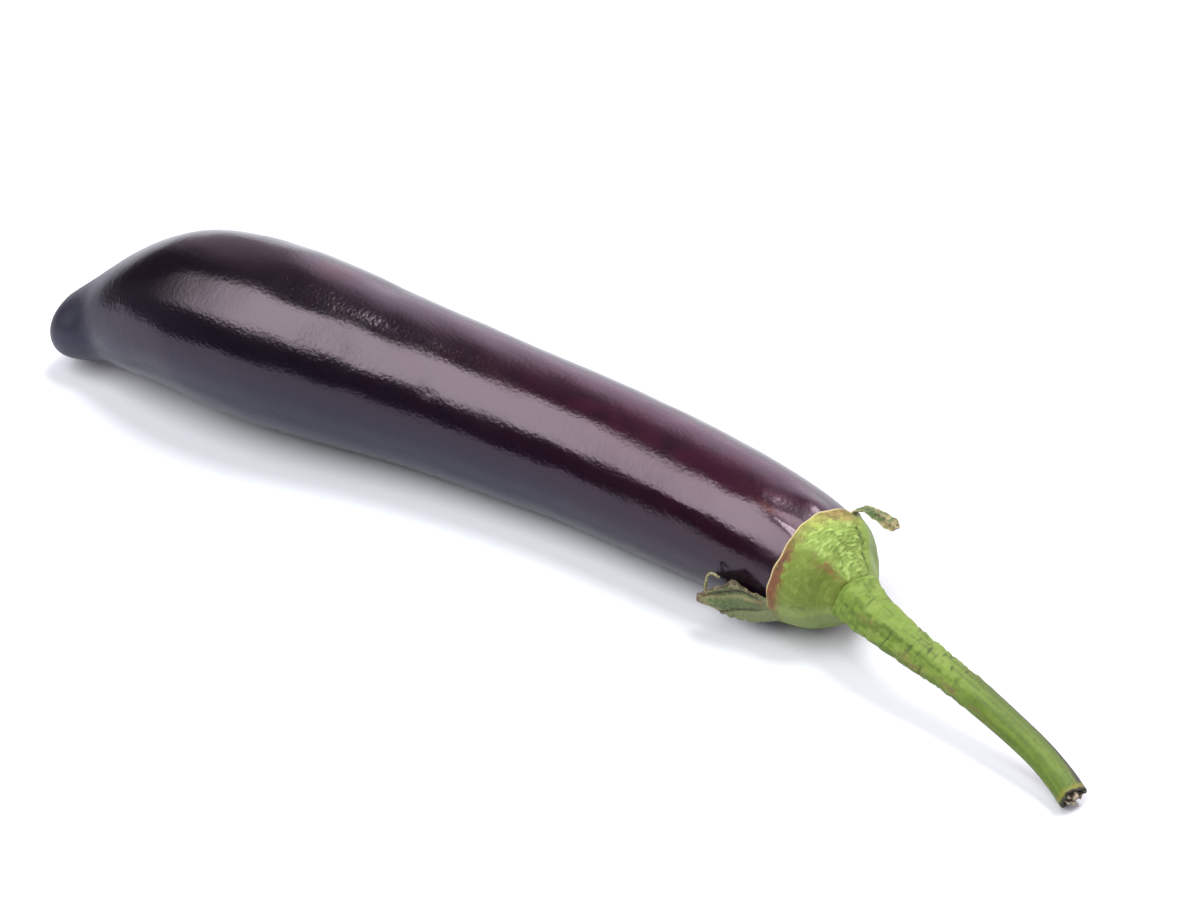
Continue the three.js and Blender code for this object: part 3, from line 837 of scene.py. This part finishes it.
# Green stalk: a smooth, slightly waxy bark drawn out in fine lengthwise lines. The eye gets yellow green
# with darker streaks, brown stains on the cracked half, and a bruised olive ring at the break. Painted
# shade darkens its top and its low side.
stem_finish, tree, skin, place = finish_named("green stalk bark")
run = put(tree, "ShaderNodeAttribute", out="Vector", attribute_name="lie")
drawn_out = put(tree, "ShaderNodeMapping", {"Vector": run, "Scale": (1, 1, 0.07)})
line_width = 1.1  # in mm, as the lie is
lines = put(tree, "ShaderNodeTexNoise", {"Vector": drawn_out, "Scale": 1 / line_width, "Detail": 4})
grain = put(tree, "ShaderNodeTexNoise", {"Vector": place, "Scale": scale_for(0.9), "Detail": 3})
colour = tinted(
    tree,
    linear("#4f6419"),
    {
        "rough": "#627929",
        "lighter": "#617627",
        "darker": "#435616",
        "rough_pale": "#748939",
        "stained": "#6a4a38",
        "pale_line": "#8e9a5e",
        "painted_top_shade": "#43541d",
        "crack": "#29331a",
        "painted_low_shade": "#4f5636",
        "dark_side": "#33302c",
        "olive_end": "#6e6a26",
        "dark_ring": "#2f281d",
    },
)
colour = flecked(tree, colour, grain, 0.45, 0.75, 0.3, "#6a7d2d")
lined = put(tree, "ShaderNodeBump", {"Height": lines, "Distance": 0.00012, "Strength": 0.6})
stem_bump = put(
    tree, "ShaderNodeBump", {"Height": grain, "Distance": 0.00014, "Strength": 0.5, "Normal": lined}
)
set_inputs(tree, skin, {"Base Color": colour, "Roughness": 0.6, "IOR": 1.4, "Normal": stem_bump})
stem.data.materials.append(stem_finish)
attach(stem, "root")
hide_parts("stem")

# ---- Pith ----
# The pale spongy core, torn when the stalk was snapped off. Its fibres stand out of the break in dry
# tufts, with painted shade in the gaps between them.

pith_ring_count, pith_side_count = 60, 72
pith_wall = 0.3  # share of the rings that climb the plug's side before the rest cross its torn end
pith_foot, pith_brim = -2.0, 0.2  # the plug stands from down the bore to just above the break
pith_share = np.linspace(0, 1, pith_ring_count)[:, None]
pith_angle = np.arange(pith_side_count)[None] * (360 / pith_side_count)
pith_out = pith_radius * np.clip((1 - pith_share) / (1 - pith_wall), 0, 1) ** 0.6
across_pith = swept(
    stem_route, 1 + 0 * pith_angle * pith_share, pith_angle + 0 * pith_share, pith_out + 0 * pith_angle
)
tufts = ripples(across_pith, 1.9, 81)
pith_side = pith_foot + pith_share / pith_wall * (pith_brim - pith_foot)
pith_torn = pith_brim + (0.55 + 0.35 * tufts) * smooth(pith_share, pith_wall, 0.45)
pith_depth = np.maximum(np.where(pith_share < pith_wall, pith_side, pith_torn), pith_foot)
pith_rings = across_pith + (pith_depth + 0.15 * ripples(across_pith, 0.7, 82))[..., None] * end_along
pith = closed_skin(
    "pith_plug",
    pith_rings,
    tuft=smooth(tufts, 0.0, 0.8) + 0 * pith_share,
    # painted shade in the sunk gaps between the tufts
    gap=(1 - smooth(tufts, -0.7, 0.0)) + 0 * pith_share,
)

# Dry pith: dead, papery cells, dull cream on the tufts, with painted shade, grey brown, down between them.
pith_finish, tree, skin, place = finish_named("torn dry pith")
crumb = put(tree, "ShaderNodeTexNoise", {"Vector": place, "Scale": scale_for(0.7), "Detail": 4})
colour = tinted(tree, linear("#857660"), {"tuft": "#ada08a", "gap": "#2e2418"})
colour = flecked(tree, colour, crumb, 0.55, 0.7, 0.5, "#4f4334")
pith_bump = put(tree, "ShaderNodeBump", {"Height": crumb, "Distance": 0.0003, "Strength": 0.9})
set_inputs(tree, skin, {"Base Color": colour, "Roughness": 0.9, "Normal": pith_bump})
pith.data.materials.append(pith_finish)
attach(pith, "root")
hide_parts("pith")

# ---- Table, light and camera ----
# A matt white table that runs out of sight, in a studio drawn as areas of the sky: a large softbox
# overhead to the front left, a small lamp high on the right, a lit backdrop that stays out of sight behind,
# a faint glow from the left and a dim room in front.

table_half = 6.0
table_drop = 0.0001  # keeps the table's face clear of the fruit's flat belly
table_mesh = bpy.data.meshes.new("table")
corners = [
    (x * table_half, y * table_half, -table_drop) for x, y in ((-1, -1), (1, -1), (1, 1), (-1, 1))
]
table_mesh.from_pydata(corners, [], [(0, 1, 2, 3)])
table = bpy.data.objects.new("table", table_mesh)
bpy.context.scene.collection.objects.link(table)
table_finish, tree, skin, place = finish_named("matt white laminate")
set_inputs(
    tree, skin, {"Base Color": (0.605, 0.622, 0.655, 1), "Roughness": 0.9, "Specular IOR Level": 0.1}
)
table_mesh.materials.append(table_finish)

azimuth, elevation = math.radians(32.5), math.radians(40)
camera_right = Vector((math.cos(azimuth), math.sin(azimuth), 0))
camera_away = Vector((-math.sin(azimuth), math.cos(azimuth), 0))
softbox_low = math.radians(34)  # its lower long edge, as an angle above the table seen along the fruit

world = bpy.data.worlds.new("studio")
bpy.context.scene.world = world
world.use_nodes = True
tree = world.node_tree
way = put(tree, "ShaderNodeTexCoord", out="Generated")
sides = {
    "right": camera_right,
    "away": camera_away,
    "up": Vector((0, 0, 1)),
    "along": Vector((1, 0, 0)),
    "over low edge": Vector((0, math.sin(softbox_low), math.cos(softbox_low))),
    "front": Vector((0, -1, 0)),
    "lamp": (camera_right * 0.28 + camera_away * 0.18 + Vector((0, 0, 1))).normalized(),
}
reach_to = {
    side: put(tree, "ShaderNodeVectorMath", {0: way, 1: toward}, out="Value", operation="DOT_PRODUCT")
    for side, toward in sides.items()
}
light = (0.05, 0.05, 0.05)  # the dim room
for tint, radiance, fades in (  # each light's colour, radiance and the cosines between which it fades in
    (
        "#ffffff",
        7.4,
        [("over low edge", 0, 0.06), ("front", 0, 0.17), ("along", -0.95, -0.22), ("along", 0.25, -0.03)],
    ),
    ("#ffffff", 22, [("lamp", 0.97, 0.987)]),
    ("#ffecff", 1.5, [("right", -0.02, 0.16), ("away", -0.15, 0.3), ("up", 1.05, 0.5)]),
    ("#ffecff", 0.7, [("right", -0.55, -0.25), ("away", -0.15, 0.3), ("up", 1.05, 0.5)]),
    ("#e6ebff", 0.15, [("right", -0.8, -0.97), ("up", 0.6, 0.3)]),
):
    for side, faint, full in fades:
        radiance = put(
            tree,
            "ShaderNodeMapRange",
            {"Value": reach_to[side], 1: faint, 2: full, 3: 0.0, 4: radiance},
            interpolation_type="SMOOTHSTEP",
        )
    light = put(
        tree,
        "ShaderNodeVectorMath",
        {0: linear(tint)[:3], 1: radiance, 2: light},
        operation="MULTIPLY_ADD",
    )
set_inputs(tree, tree.nodes["Background"], {"Color": light, "Strength": 1.0})

camera_target = Vector((-0.0123, 0.0324, 0))
camera_distance = 1.05
camera_back = Vector(
    (
        math.sin(azimuth) * math.cos(elevation),
        -math.cos(azimuth) * math.cos(elevation),
        math.sin(elevation),
    )
)
camera = bpy.data.cameras.new("camera")
camera.lens = 105
camera.sensor_width = 36
camera_object = bpy.data.objects.new("camera", camera)
camera_object.location = camera_target + camera_back * camera_distance
camera_object.rotation_euler = camera_back.to_track_quat("Z", "Y").to_euler()
bpy.context.scene.collection.objects.link(camera_object)
bpy.context.scene.camera = camera_object
bpy.context.scene.view_settings.view_transform = "Standard"
